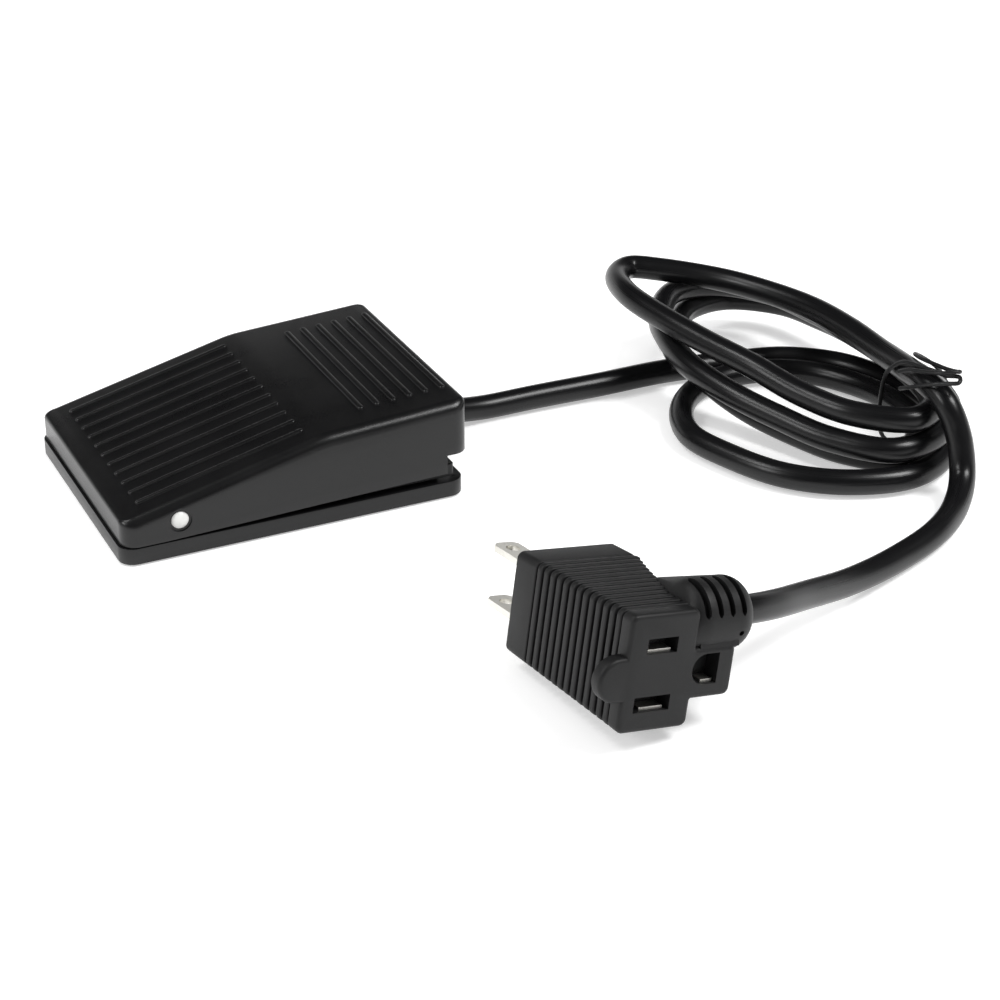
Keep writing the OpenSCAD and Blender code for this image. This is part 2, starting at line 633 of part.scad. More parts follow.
// Swelling that leads from the body's top to the strain relief
module plug_neck() hull() {
    for (d = [[neck_x - 0.8, waist[0][1] + 1.7, 7, 5.9], [waist[1][0] - 1, waist[1][1] - 4.3, 6.9, 6.4],
        [waist[1][0] - 0.5, relief_u, relief_v, relief_d/2 + 0.2], [block_right - 0.1, relief_u, relief_v, relief_d/2]])
        translate([d[0], d[1], d[2]]) rotate([0, 90, 0]) cylinder(r = d[3], h = 0.1, $fn = 32);
}

// Slots round the upper part of the strain relief, on its face side and its blade side
module relief_slots(blade_side) {
    reach = relief_d;
    for (i = [blade_side ? 2 : 0:3]) intersection() {
        translate([slot_first + i*slot_step, relief_u, relief_v]) rotate([0, 90, 0]) difference() {
            cylinder(d = relief_d + 4, h = slot_w);
            translate([0, 0, -1]) cylinder(d = relief_d - 3.2, h = slot_w + 2);
        }
        translate([0, blade_side ? relief_u + 3.6 : relief_u + 0.8 - reach, relief_v + 1.9])
            cube([far, reach, reach]);
    }
}

module plug_body() {
    color("#2b2b2c") in_plug() difference() {
        union() {
            plug_form(grip_deep);
            intersection() {
                plug_form(0);
                grip_slabs();
            }
            plug_neck();
            translate([plug_left - ear_out, 0, ear_v]) rotate([-90, 0, 0]) cylinder(r = ear_r, h = ear_h);
            translate([plug_left - ear_out, 0, ear_v - ear_r]) cube([2*ear_out, ear_h, 2*ear_r]);
        }
        at_pins() {
            for (s = [-1, 1]) translate([-blade_w/2 - (s < 0 ? 2.1 : 0.6), -1, s*blade_pitch/2 - slot_h/2])
                cube([blade_w + (s < 0 ? 2.7 : 1.2), slot_depth + 1, slot_h]);
            translate([ground_x, -1, 0]) rotate([-90, 0, 0]) cylinder(r = ground_hole, h = slot_depth + 1);
            translate([ground_x, -1, -ground_hole])
                cube([ground_hole - 0.2, slot_depth + 1, 2*ground_hole]);
        }
        relief_slots(false);
        relief_slots(true);
    }
}

module plug_relief() {
    r = relief_d/2;
    color("#2b2b2c") in_plug() difference() {
        translate([block_right, relief_u, relief_v]) rotate([0, 90, 0]) rotate_extrude() polygon([[0, 0], [r, 0],
            [r, relief_l - 5.2], [r - 0.3, relief_l - 3.4], [r - 1.2, relief_l - 1.9], [r - 2.5, relief_l - 0.8],
            [r - 3.7, relief_l - 0.3], [r - 4.6, relief_l], [0, relief_l]]);
        relief_slots(false);
        relief_slots(true);
    }
}

module blade(s) in_plug() at_pins() translate([0, plug_l, s*blade_pitch/2]) difference() {
    translate([-blade_w/2, 0, -blade_t/2]) cube([blade_w, blade_l, blade_t]);
    translate([0, blade_l - 4, -blade_t]) cylinder(d = 3.2, h = 2*blade_t);
    for (k = [-1, 1]) translate([k*blade_w/2, blade_l, 0]) rotate([0, 0, 45])
        cube([1.8, 1.8, 2*blade_t], center = true);
}

module blade_hot() color("#d2d0c8") blade(1);
module blade_neutral() color("#d2d0c8") blade(-1);

module ground_pin() color("#d2d0c8") in_plug() at_pins() translate([ground_x, plug_l, 0]) rotate([-90, 0, 0]) {
    cylinder(d = ground_d, h = ground_l - ground_d/2);
    translate([0, 0, ground_l - ground_d/2]) sphere(d = ground_d);
}

module contact(s) in_plug() at_pins()
    translate([-blade_w/2 + 0.2, 1.2, s*blade_pitch/2 - slot_h/2])
        cube([blade_w - 0.4, slot_depth - 1.2, contact_t]);

module contact_hot() color("#cfd2d6") contact(1);
module contact_neutral() color("#cfd2d6") contact(-1);
module contact_ground() color("#cfd2d6") in_plug() at_pins()
    translate([ground_x, 1.2, -ground_hole]) cube([ground_hole - 0.4, slot_depth - 1.2, contact_t]);

pedal_cover();
press_screw();
base_plate();
hinge_pin();
rubber_feet();
bumper_pads();
switch_body();
switch_plunger();
switch_terminals();
switch_screws();
switch_nuts();
return_spring();
cord_clamp();
clamp_screws();
cord_grommet();
cord_inner();
wire_live();
wire_load();
crimp_terminals();
cord();
cord_tie();
plug_body();
plug_relief();
blade_hot();
blade_neutral();
ground_pin();
contact_hot();
contact_neutral();
contact_ground();
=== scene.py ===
import math
import bpy
import bmesh
from mathutils import Matrix, Vector


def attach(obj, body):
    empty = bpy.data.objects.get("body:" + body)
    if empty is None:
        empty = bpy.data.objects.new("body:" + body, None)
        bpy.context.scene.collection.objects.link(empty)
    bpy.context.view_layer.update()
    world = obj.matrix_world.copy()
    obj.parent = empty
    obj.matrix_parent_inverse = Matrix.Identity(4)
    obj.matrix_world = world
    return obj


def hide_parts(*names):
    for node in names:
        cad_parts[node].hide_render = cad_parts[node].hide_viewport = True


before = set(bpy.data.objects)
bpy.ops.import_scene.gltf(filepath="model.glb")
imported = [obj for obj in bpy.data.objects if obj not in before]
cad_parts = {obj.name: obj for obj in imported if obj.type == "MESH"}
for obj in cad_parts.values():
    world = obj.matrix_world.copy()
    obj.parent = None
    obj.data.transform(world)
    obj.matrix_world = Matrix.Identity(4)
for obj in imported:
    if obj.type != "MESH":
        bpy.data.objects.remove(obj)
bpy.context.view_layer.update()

mm = 0.001
print("frame loaded:", len(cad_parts), "nodes")


# camera: a longish lens from the right, looking down on the cord end
view = {"turn": 64.57, "height": 27.77, "away": 0.5802, "target": (0.0415, 0.04995, 0.0), "lens": 84.24,
        "sensor": 36, "clipFrom": 0.01, "clipTo": 20}


def addCamera():
    turn, height = math.radians(view["turn"]), math.radians(view["height"])
    back = Vector((math.sin(turn) * math.cos(height), -math.cos(turn) * math.cos(height), math.sin(height)))
    camera = bpy.data.objects.new("camera", bpy.data.cameras.new("camera"))
    camera.location = Vector(view["target"]) + back * view["away"]
    camera.rotation_mode = "QUATERNION"
    camera.rotation_quaternion = (-back).to_track_quat("-Z", "Y")
    camera.data.lens, camera.data.sensor_width = view["lens"], view["sensor"]
    camera.data.clip_start, camera.data.clip_end = view["clipFrom"], view["clipTo"]
    bpy.context.collection.objects.link(camera)
    bpy.context.scene.camera = camera


addCamera()
print("camera placed")


# a node's output that can stand in a sum
class Value:
    def __init__(self, finish, socket):
        self.finish, self.socket = finish, socket

    def __add__(self, other):
        return self.finish.sum("ADD", self, other)

    def __radd__(self, other):
        return self.finish.sum("ADD", other, self)

    def __sub__(self, other):
        return self.finish.sum("SUBTRACT", self, other)

    def __rsub__(self, other):
        return self.finish.sum("SUBTRACT", other, self)

    def __mul__(self, other):
        return self.finish.sum("MULTIPLY", self, other)

    def __rmul__(self, other):
        return self.finish.sum("MULTIPLY", other, self)


# a shader graph: each method adds one node and gives back its output
class Graph:
    def __init__(self, tree):
        self.tree = tree

    def node(self, kind, settings, values, out=0):
        made = self.tree.nodes.new(kind)
        for name, setting in settings.items():
            setattr(made, name, setting)
        self.feed(made, values)
        return Value(self, made.outputs[out])

    def feed(self, made, values):
        for name, value in values.items():
            if isinstance(value, Value):
                self.tree.links.new(value.socket, made.inputs[name])
            else:
                made.inputs[name].default_value = value

    def sum(self, operation, a, b):
        return self.node("ShaderNodeMath", {"operation": operation}, {0: a, 1: b})

    def ray(self, kind):
        return self.node("ShaderNodeLightPath", {}, {}, kind)

    def mixShader(self, factor, a, b):
        return self.node("ShaderNodeMixShader", {}, {0: factor, 1: a, 2: b})

    def place(self, output="Object"):
        return self.node("ShaderNodeTexCoord", {}, {}, output)

    def noise(self, where, scale, detail, roughness=0.5):
        return self.node("ShaderNodeTexNoise", {},
                         {"Vector": where, "Scale": scale, "Detail": detail, "Roughness": roughness}, "Fac")

    def stretch(self, where, scale):
        return self.node("ShaderNodeMapping", {}, {"Vector": where, "Scale": scale})

    def blend(self, factor, a, b):
        return self.node("ShaderNodeMix", {"data_type": "RGBA"}, {0: factor, 6: (*a, 1), 7: (*b, 1)}, 2)

    def ramp(self, value, low, high):
        return self.node("ShaderNodeMapRange", {}, {0: value, 1: low, 2: high})

    def bump(self, height, strength, distance):
        return self.node("ShaderNodeBump", {},
                         {"Height": height, "Strength": strength, "Distance": distance})


class Finish(Graph):
    def __init__(self, name):
        self.material = bpy.data.materials.new(name)
        self.material.use_nodes = True
        Graph.__init__(self, self.material.node_tree)
        self.shader = self.tree.nodes["Principled BSDF"]
        self.output = self.tree.nodes["Material Output"]

    def set(self, **values):
        names = {"colour": "Base Color", "roughness": "Roughness", "metallic": "Metallic",
                 "normal": "Normal", "specular": "Specular IOR Level"}
        self.feed(self.shader, {names[key]: value for key, value in values.items()})
        return self.material


finishes = {}


# moulded ABS with a fine spark-eroded texture, a little uneven in its gloss
def mouldedAbs(name, dark, light, grain, rough):
    f = Finish(name)
    where = f.place()
    fine = f.noise(where, 5200 * grain, 2, 0.6)
    coarse = f.noise(where, 1500 * grain, 2, 0.5)
    cloud = f.noise(where, 60, 3, 0.55)
    normal = f.bump(fine * 0.6 + coarse * 0.4, 0.5, 0.00006)
    return f.set(colour=f.blend(f.ramp(cloud, 0.3, 0.7), dark, light),
                 roughness=rough + (cloud - 0.5) * 0.12 + (fine - 0.5) * 0.1, normal=normal, specular=0.38)


finishes["cover"] = mouldedAbs("coverBlackAbs", (0.004, 0.004, 0.0043), (0.006, 0.006, 0.0063), 1, 0.3)
finishes["base"] = mouldedAbs("baseBlackAbs", (0.004, 0.004, 0.0043), (0.006, 0.006, 0.0063), 0.8, 0.33)
finishes["clamp"] = mouldedAbs("clampBlackAbs", (0.008, 0.008, 0.0085), (0.012, 0.012, 0.0125), 0.7, 0.5)
finishes["switch"] = mouldedAbs("switchPhenolic", (0.02, 0.019, 0.019), (0.032, 0.03, 0.03), 1.2, 0.5)


# extruded PVC jacket: satin gloss with long streaks along the cord (U runs along it, V round it)
def cordPvc():
    f = Finish("cordBlackPvc")
    where = f.place("UV")
    streak = f.noise(f.stretch(where, (6, 14, 1)), 5, 3, 0.6)
    mottle = f.noise(f.place(), 900, 2, 0.5)
    slow = f.noise(f.place(), 45, 2, 0.5)
    return f.set(colour=f.blend(streak, (0.003, 0.003, 0.0035), (0.006, 0.006, 0.0065)),
                 roughness=0.2 + streak * 0.12 + slow * 0.06, specular=0.32,
                 normal=f.bump(streak * 0.5 + mottle * 0.2 + slow, 0.35, 0.00012))


finishes["cord"] = cordPvc()


# moulded soft PVC, matt
def softPvc(name, dark, light, rough):
    f = Finish(name)
    where = f.place()
    fine = f.noise(where, 4200, 2, 0.6)
    cloud = f.noise(where, 90, 3, 0.5)
    return f.set(colour=f.blend(cloud, dark, light), roughness=rough + (fine - 0.5) * 0.15, specular=0.3,
                 normal=f.bump(fine, 0.5, 0.00007))


finishes["plug"] = softPvc("plugBlackPvc", (0.0055, 0.0055, 0.0058), (0.0085, 0.0085, 0.0088), 0.5)
finishes["sleeve"] = softPvc("sleeveBlackPvc", (0.007, 0.007, 0.0075), (0.01, 0.01, 0.0105), 0.5)
finishes["rubber"] = softPvc("footRubber", (0.01, 0.01, 0.01), (0.016, 0.016, 0.016), 0.8)
finishes["tie"] = softPvc("tieBlackCoating", (0.008, 0.008, 0.0085), (0.014, 0.014, 0.0145), 0.38)


# smooth natural or dyed nylon, faintly clouded
def smoothNylon(name, dark, light, rough):
    f = Finish(name)
    cloud = f.noise(f.place(), 700, 3, 0.6)
    slow = f.noise(f.place(), 160, 2, 0.5)
    return f.set(colour=f.blend(slow, dark, light), roughness=rough + (cloud - 0.5) * 0.12,
                 normal=f.bump(cloud, 0.2, 0.00004))


finishes["pin"] = smoothNylon("pinWhiteNylon", (0.72, 0.72, 0.7), (0.86, 0.86, 0.84), 0.35)
finishes["plunger"] = smoothNylon("plungerRedAcetal", (0.36, 0.02, 0.015), (0.5, 0.035, 0.025), 0.3)
finishes["coreBlack"] = smoothNylon("coreBlackPvc", (0.014, 0.014, 0.014), (0.024, 0.024, 0.024), 0.35)
finishes["coreWhite"] = smoothNylon("coreWhitePvc", (0.7, 0.7, 0.66), (0.82, 0.82, 0.78), 0.35)


# plated metal: fine brushing along one axis, a few dull spots
def platedMetal(name, dark, light, rough, along=(1, 1, 12)):
    f = Finish(name)
    where = f.place()
    brushed = f.noise(f.stretch(where, along), 1800, 2, 0.5)
    dull = f.noise(where, 220, 3, 0.6)
    return f.set(colour=f.blend(dull, dark, light), metallic=1.0,
                 roughness=rough + brushed * 0.12 + dull * 0.1, normal=f.bump(brushed, 0.25, 0.00003))


finishes["nickel"] = platedMetal("paleNickel", (0.66, 0.64, 0.58), (0.86, 0.85, 0.8), 0.22)
finishes["steel"] = platedMetal("zincSteel", (0.5, 0.5, 0.52), (0.7, 0.71, 0.73), 0.28)
finishes["spring"] = platedMetal("springWire", (0.42, 0.42, 0.44), (0.6, 0.6, 0.62), 0.24, (1, 1, 3))
finishes["brass"] = platedMetal("tinnedBrass", (0.6, 0.45, 0.22), (0.78, 0.62, 0.34), 0.28)

wears = {"pedal_cover": "cover", "press_screw": "steel", "base_plate": "base", "hinge_pin": "pin",
         "rubber_feet": "rubber", "bumper_pads": "rubber", "switch_body": "switch",
         "switch_plunger": "plunger", "switch_terminals": "brass", "switch_screws": "steel",
         "switch_nuts": "steel", "return_spring": "spring", "cord_clamp": "clamp", "clamp_screws": "steel",
         "cord_grommet": "sleeve", "cord_inner": "cord", "wire_live": "coreBlack", "wire_load": "coreWhite",
         "crimp_terminals": "brass", "cord": "cord", "cord_tie": "tie", "plug_body": "plug",
         "plug_relief": "plug", "blade_hot": "nickel", "blade_neutral": "nickel", "ground_pin": "nickel",
         "contact_hot": "nickel", "contact_neutral": "nickel", "contact_ground": "nickel"}


def dressNodes():
    for node, finish in wears.items():
        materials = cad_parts[node].data.materials
        materials.clear()
        materials.append(finishes[finish])


dressNodes()
print("finishes made:", len(finishes))


# cord: the same points as the part's own route, in metres
cordRoute = [
    (0, 0.04985, 0.0065), (-0.001, 0.057, 0.0048), (-0.002, 0.066, 0.0035), (-0.002, 0.081, 0.0035),
    (-0.0015, 0.1, 0.0035), (-0.0015, 0.12, 0.0035), (0.001, 0.138, 0.0035), (0.005, 0.154, 0.0035),
    (0.015, 0.166, 0.0035),
    (0.03, 0.172, 0.0037), (0.046, 0.173, 0.0045), (0.061, 0.17, 0.005), (0.074, 0.159, 0.0035),
    (0.08, 0.145, 0.0035), (0.076, 0.129, 0.0035), (0.066, 0.117, 0.0035), (0.051, 0.11, 0.0035),
    (0.036, 0.107, 0.0035), (0.021, 0.113, 0.0035), (0.011, 0.125, 0.0035), (0.009, 0.141, 0.0035),
    (0.016, 0.155, 0.0035), (0.03, 0.163, 0.0037), (0.046, 0.164, 0.0048), (0.061, 0.16, 0.0055),
    (0.071, 0.149, 0.0035), (0.062, 0.138, 0.0035), (0.047, 0.131, 0.004), (0.032, 0.125, 0.006),
    (0.018, 0.12, 0.0105), (0.002, 0.121, 0.011), (-0.012, 0.129, 0.01), (-0.024, 0.14, 0.0095),
    (-0.028, 0.155, 0.0085), (-0.018, 0.167, 0.0085), (-0.003, 0.171, 0.009), (0.013, 0.172, 0.01),
    (0.045, 0.17, 0.0106), (0.061, 0.165, 0.0108), (0.074, 0.157, 0.0105), (0.077, 0.142, 0.01),
    (0.065, 0.131, 0.01), (0.051, 0.124, 0.0115), (0.036, 0.118, 0.0135), (0.02, 0.115, 0.0155),
    (0.004, 0.117, 0.017), (-0.01, 0.123, 0.0167), (-0.022, 0.134, 0.0166), (-0.024, 0.149, 0.0155),
    (-0.013, 0.16, 0.015), (0.003, 0.163, 0.0155), (0.019, 0.164, 0.016), (0.051, 0.164, 0.0165),
    (0.067, 0.161, 0.0175), (0.076, 0.148, 0.017), (0.067, 0.136, 0.017), (0.053, 0.129, 0.018),
    (0.038, 0.123, 0.021), (0.023, 0.118, 0.0225), (0.008, 0.114, 0.024), (-0.008, 0.112, 0.025),
    (-0.024, 0.117, 0.0239), (-0.028, 0.123, 0.0238), (-0.0235, 0.13, 0.0236), (-0.011, 0.143, 0.0228),
    (0.001, 0.15, 0.0225), (0.016, 0.155, 0.0225), (0.032, 0.1565, 0.0225), (0.048, 0.156, 0.0225),
    (0.064, 0.154, 0.024), (0.073, 0.1525, 0.025), (0.081, 0.153, 0.0225), (0.086, 0.154, 0.0155),
    (0.091, 0.1525, 0.007), (0.098, 0.146, 0.0037), (0.107, 0.134, 0.0035), (0.114, 0.118, 0.0035),
    (0.121, 0.101, 0.0055), (0.13, 0.083, 0.011), (0.1389, 0.0676, 0.0169), (0.1425, 0.0579, 0.02),
]
cordSizes = {"diameter": 0.0065, "sides": 28, "steps": 8, "firstWay": (0, 1, 0),
             "lastWay": (0.0872, -0.9767, 0.1959), "smooth": 60}


def smoothLine(points, steps, firstWay, lastWay):
    # centripetal Catmull-Rom through the points, with set directions at both ends
    p = [Vector(q) for q in points]
    before = p[0] - Vector(firstWay) * (p[1] - p[0]).length
    after = p[-1] + Vector(lastWay) * (p[-1] - p[-2]).length
    p = [before] + p + [after]
    line = []
    for i in range(1, len(p) - 2):
        a, b, c, d = p[i - 1], p[i], p[i + 1], p[i + 2]
        t0, t1 = 0.0, (b - a).length ** 0.5
        t2 = t1 + (c - b).length ** 0.5
        t3 = t2 + (d - c).length ** 0.5
        for k in range(steps):
            t = t1 + (t2 - t1) * k / steps
            ab = a * ((t1 - t) / (t1 - t0)) + b * ((t - t0) / (t1 - t0))
            bc = b * ((t2 - t) / (t2 - t1)) + c * ((t - t1) / (t2 - t1))
            cd = c * ((t3 - t) / (t3 - t2)) + d * ((t - t2) / (t3 - t2))
            abc = ab * ((t2 - t) / (t2 - t0)) + bc * ((t - t0) / (t2 - t0))
            bcd = bc * ((t3 - t) / (t3 - t1)) + cd * ((t - t1) / (t3 - t1))
            line.append(abc * ((t2 - t) / (t2 - t1)) + bcd * ((t - t1) / (t2 - t1)))
    return line + [p[-2]]


rides = []  # each visible piece with its body, handed to the frame at the end


def newPiece(name, bm, material, body="base", smooth=35):
    mesh = bpy.data.meshes.new(name)
    bm.to_mesh(mesh)
    bm.free()
    piece = bpy.data.objects.new(name, mesh)
    bpy.context.collection.objects.link(piece)
    if material:
        mesh.materials.append(material)
    if smooth:
        mesh.shade_smooth()
        mesh.set_sharp_from_angle(angle=math.radians(smooth))
    if body:
        rides.append((piece, body))
    return piece


def tubeMesh(line, radius, sides):
    # a closed round tube with a frame carried along the line, and a UV in metres along and round it
    bm = bmesh.new()
    uv = bm.loops.layers.uv.new("along")
    ways = [(line[min(i + 1, len(line) - 1)] - line[max(i - 1, 0)]).normalized() for i in range(len(line))]
    side = ways[0].cross(Vector((0, 0, 1))).normalized()
    rings, run = [], [0.0]
    for i, (centre, way) in enumerate(zip(line, ways)):
        side = (side - way * side.dot(way)).normalized()
        up = side.cross(way)
        rings.append([bm.verts.new(centre + (side * math.cos(a) + up * math.sin(a)) * radius)
                      for a in (2 * math.pi * k / sides for k in range(sides))])
        if i + 1 < len(line):
            run.append(run[-1] + (line[i + 1] - centre).length)
    for i in range(len(rings) - 1):
        for k in range(sides):
            n = (k + 1) % sides
            face = bm.faces.new((rings[i][k], rings[i][n], rings[i + 1][n], rings[i + 1][k]))
            for loop, (u, v) in zip(face.loops, ((i, k), (i, k + 1), (i + 1, k + 1), (i + 1, k))):
                loop[uv].uv = (run[u], v / sides)
    bm.faces.new(rings[0][::-1])
    bm.faces.new(rings[-1])
    bmesh.ops.recalc_face_normals(bm, faces=bm.faces)
    return bm, run[-1]


cordLine = smoothLine(cordRoute, cordSizes["steps"], cordSizes["firstWay"], cordSizes["lastWay"])
cordMesh, cordLength = tubeMesh(cordLine, cordSizes["diameter"] / 2, cordSizes["sides"])
cord = newPiece("cord_jacket", cordMesh, finishes["cord"], None, cordSizes["smooth"])
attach(cord, "base")
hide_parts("cord")
print("cord laid:", round(cordLength, 3), "m")


def finishMesh(bm, near=0.000001):
    # corners that meet are joined, and the faces point outwards
    bmesh.ops.remove_doubles(bm, verts=bm.verts, dist=near)
    bmesh.ops.recalc_face_normals(bm, faces=bm.faces)
    return bm


def fromNode(node):
    # the node's own solid, merged so that its edges can be broken
    bm = bmesh.new()
    bm.from_mesh(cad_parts[node].data)
    bmesh.ops.remove_doubles(bm, verts=bm.verts, dist=0.000002)
    bmesh.ops.dissolve_limit(bm, angle_limit=math.radians(1), verts=bm.verts, edges=bm.edges)
    return finishMesh(bm)


def alongX(y, z, x):
    return (x * mm, y * mm, z * mm)


def alongY(x, z, y):
    return (x * mm, y * mm, z * mm)


def skin(bm, rings):
    # faces between rings of the same number of corners, closed at both ends
    for a, b in zip(rings, rings[1:]):
        for i in range(len(a)):
            k = (i + 1) % len(a)
            bm.faces.new((a[i], a[k], b[k], b[i]))
    bm.faces.new(rings[0][::-1])
    bm.faces.new(rings[-1])


def addBar(bm, outline, near, far, place):
    # a prism of an outline given in millimetres, between two heights, put in place by a function
    skin(bm, [[bm.verts.new(place(a, b, height)) for a, b in outline] for height in (near, far)])


def roundOutline(points, radii, steps=6):
    # a polygon with each corner rounded by its own radius
    made = []
    count = len(points)
    for i, radius in enumerate(radii):
        here, back, on = Vector(points[i]), Vector(points[i - 1]), Vector(points[(i + 1) % count])
        if not radius:
            made.append(tuple(here))
            continue
        toBack, toOn = (back - here).normalized(), (on - here).normalized()
        half = toBack.angle(toOn) / 2
        centre = here + (toBack + toOn).normalized() * (radius / math.sin(half))
        start = here + toBack * (radius / math.tan(half)) - centre
        end = here + toOn * (radius / math.tan(half)) - centre
        turn = start.angle_signed(end)
        for k in range(steps + 1):
            a = -turn * k / steps
            made.append((centre.x + start.x * math.cos(a) - start.y * math.sin(a),
                         centre.y + start.x * math.sin(a) + start.y * math.cos(a)))
    return made


def circleOutline(radius, sides, centre=(0, 0)):
    return [(centre[0] + radius * math.cos(2 * math.pi * k / sides),
             centre[1] + radius * math.sin(2 * math.pi * k / sides)) for k in range(sides)]


def cutter(name, bm):
    mesh = bpy.data.meshes.new(name)
    finishMesh(bm).to_mesh(mesh)
    bm.free()
    piece = bpy.data.objects.new(name, mesh)
    bpy.context.collection.objects.link(piece)
    return piece


def settle(piece, smooth=35):
    # modifiers made into a plain mesh
    bpy.context.view_layer.update()
    shown = piece.evaluated_get(bpy.context.evaluated_depsgraph_get())
    mesh = bpy.data.meshes.new_from_object(shown, preserve_all_data_layers=True,
                                           depsgraph=bpy.context.evaluated_depsgraph_get())
    piece.modifiers.clear()
    piece.data = mesh
    if smooth:
        mesh.shade_smooth()
        mesh.set_sharp_from_angle(angle=math.radians(smooth))


def cutBy(piece, tool, operation="DIFFERENCE"):
    # one solid taken from a piece, or joined to it
    cut = piece.modifiers.new("cut", "BOOLEAN")
    cut.operation, cut.object, cut.solver = operation, tool, "EXACT"
    settle(piece, 0)
    bpy.data.objects.remove(tool)


def breakEdges(piece, width, angle):
    edge = piece.modifiers.new("edge", "BEVEL")
    edge.width, edge.segments, edge.limit_method = width * mm, 2, "ANGLE"
    edge.angle_limit, edge.use_clamp_overlap = math.radians(angle), True


def rowTree(name):
    # copies of the incoming piece along a line, each scaled a little less than the one before
    tree = bpy.data.node_groups.new(name, "GeometryNodeTree")
    for label, kind, way in (("Geometry", "Geometry", "INPUT"), ("Count", "Int", "INPUT"),
                             ("Step", "Vector", "INPUT"), ("Scale Step", "Vector", "INPUT"),
                             ("Scale Bend", "Vector", "INPUT"), ("Material", "Material", "INPUT"),
                             ("Geometry", "Geometry", "OUTPUT")):
        tree.interface.new_socket(label, in_out=way, socket_type="NodeSocket" + kind)
    made = {}
    for key, kind in (("in", "NodeGroupInput"), ("line", "GeometryNodeMeshLine"),
                      ("put", "GeometryNodeInstanceOnPoints"), ("index", "GeometryNodeInputIndex"),
                      ("grow", "ShaderNodeVectorMath"), ("size", "ShaderNodeVectorMath"),
                      ("real", "GeometryNodeRealizeInstances"), ("dress", "GeometryNodeSetMaterial"),
                      ("out", "NodeGroupOutput")):
        made[key] = tree.nodes.new(kind)
    made["grow"].operation = made["size"].operation = "MULTIPLY_ADD"
    made["size"].inputs[2].default_value = (1, 1, 1)
    for a, b, c, d in (("in", "Geometry", "put", "Instance"), ("in", "Count", "line", "Count"),
                       ("in", "Step", "line", "Offset"), ("line", 0, "put", "Points"),
                       ("index", 0, "grow", 0), ("in", "Scale Bend", "grow", 1),
                       ("in", "Scale Step", "grow", 2), ("index", 0, "size", 0), ("grow", 0, "size", 1),
                       ("size", 0, "put", "Scale"), ("put", 0, "real", 0), ("real", 0, "dress", 0),
                       ("in", "Material", "dress", "Material"), ("dress", 0, "out", 0)):
        tree.links.new(made[a].outputs[b], made[c].inputs[d])
    return tree


def repeat(piece, count, step, material, scaleStep=(0, 0, 0), scaleBend=(0, 0, 0)):
    # a piece becomes a row of itself
    row = piece.modifiers.new("row", "NODES")
    row.node_group = rowOf
    given = {"Count": count, "Step": step, "Scale Step": scaleStep, "Scale Bend": scaleBend,
             "Material": material}
    for item in rowOf.interface.items_tree:
        if item.in_out == "INPUT" and item.name in given:
            row[item.identifier] = given[item.name]
    settle(piece)


rowOf = rowTree("rowOfPieces")
print("helpers ready")


# cover: the hinged tread, in millimetres and degrees
coverSizes = {"width": 70, "front": -44.25, "rear": 44.85, "corner": 4, "edge": 3, "nose": 0.8,
              "rearEdge": 1.4, "wall": 2.2, "frontY": -41.45, "frontZ": 11.68, "crease": 6.85,
              "creaseZ": 23.48, "soft": 2.6, "rearY": 41.85, "rearZ": 25.5, "low": 4.75, "wedgeY": -33.75,
              "wedge": 1.63, "stepY": 38.75, "bandZ": 11.7, "pinY": -30.15, "pinZ": 9.5, "pinHole": 4.4,
              "pinHoleDeep": 10, "pinRecess": 5.7, "pinRecessDeep": 0.5, "notch": 14, "notchZ": 8.6,
              "notchFrom": 41.5, "notchTo": 48.2, "edgeBreak": 0.25, "edgeAngle": 40, "smooth": 32}
coverSteps = {"corner": 12, "side": 5, "edge": 8, "pin": 40, "notch": 48, "stations": 1.5}


def coverSlopes():
    # how much the top climbs for each millimetre, before and behind the crease
    c = coverSizes
    return ((c["creaseZ"] - c["frontZ"]) / (c["crease"] - c["frontY"]),
            (c["rearZ"] - c["creaseZ"]) / (c["rearY"] - c["crease"]))


def topHeight(y):
    c = coverSizes
    rise, fall = coverSlopes()
    if abs(y - c["crease"]) < c["soft"]:  # a soft crease: the two slopes blend over a few millimetres
        k = (y - c["crease"] + c["soft"]) / (2 * c["soft"])
        start = c["creaseZ"] - rise * c["soft"]
        return start + 2 * c["soft"] * (rise * k + (fall - rise) * k * k / 2)
    return c["creaseZ"] + (y - c["crease"]) * (rise if y < c["crease"] else fall)


def lowHeight(y, rear):
    # the lower edge: it climbs from the front, and steps up over the base's rear band
    c = coverSizes
    if rear or y > c["stepY"]:
        return c["bandZ"]
    return c["low"] + max(0, y - c["wedgeY"]) * math.tan(math.radians(c["wedge"]))


def coverRing():
    # the left half of the footprint from the front to the rear: (x, y, normal x, normal y)
    c, pitch = coverSizes, coverSteps["stations"]
    half, r = c["width"] / 2, c["corner"]
    turns = [math.pi / 2 * k / coverSteps["corner"] for k in range(coverSteps["corner"] + 1)]
    ring = [(-half + r - r * math.sin(a), c["front"] + r - r * math.cos(a), -math.sin(a), -math.cos(a))
            for a in turns]
    stations = [c["front"] + r + pitch * k for k in range(1, math.ceil((c["rear"] - c["front"]) / pitch))]
    stations = [y for y in stations if y < c["rear"] - r - 0.5 and abs(y - c["crease"]) > c["soft"] + 0.5]
    stations += [c["crease"] + c["soft"] * k / 4 for k in range(-5, 6)]
    stations += [c["stepY"], c["stepY"] + 0.001]
    ring += [(-half, y, -1, 0) for y in sorted(stations)]
    ring += [(-half + r - r * math.cos(a), c["rear"] - r + r * math.sin(a), -math.cos(a), math.sin(a))
             for a in turns]
    return ring


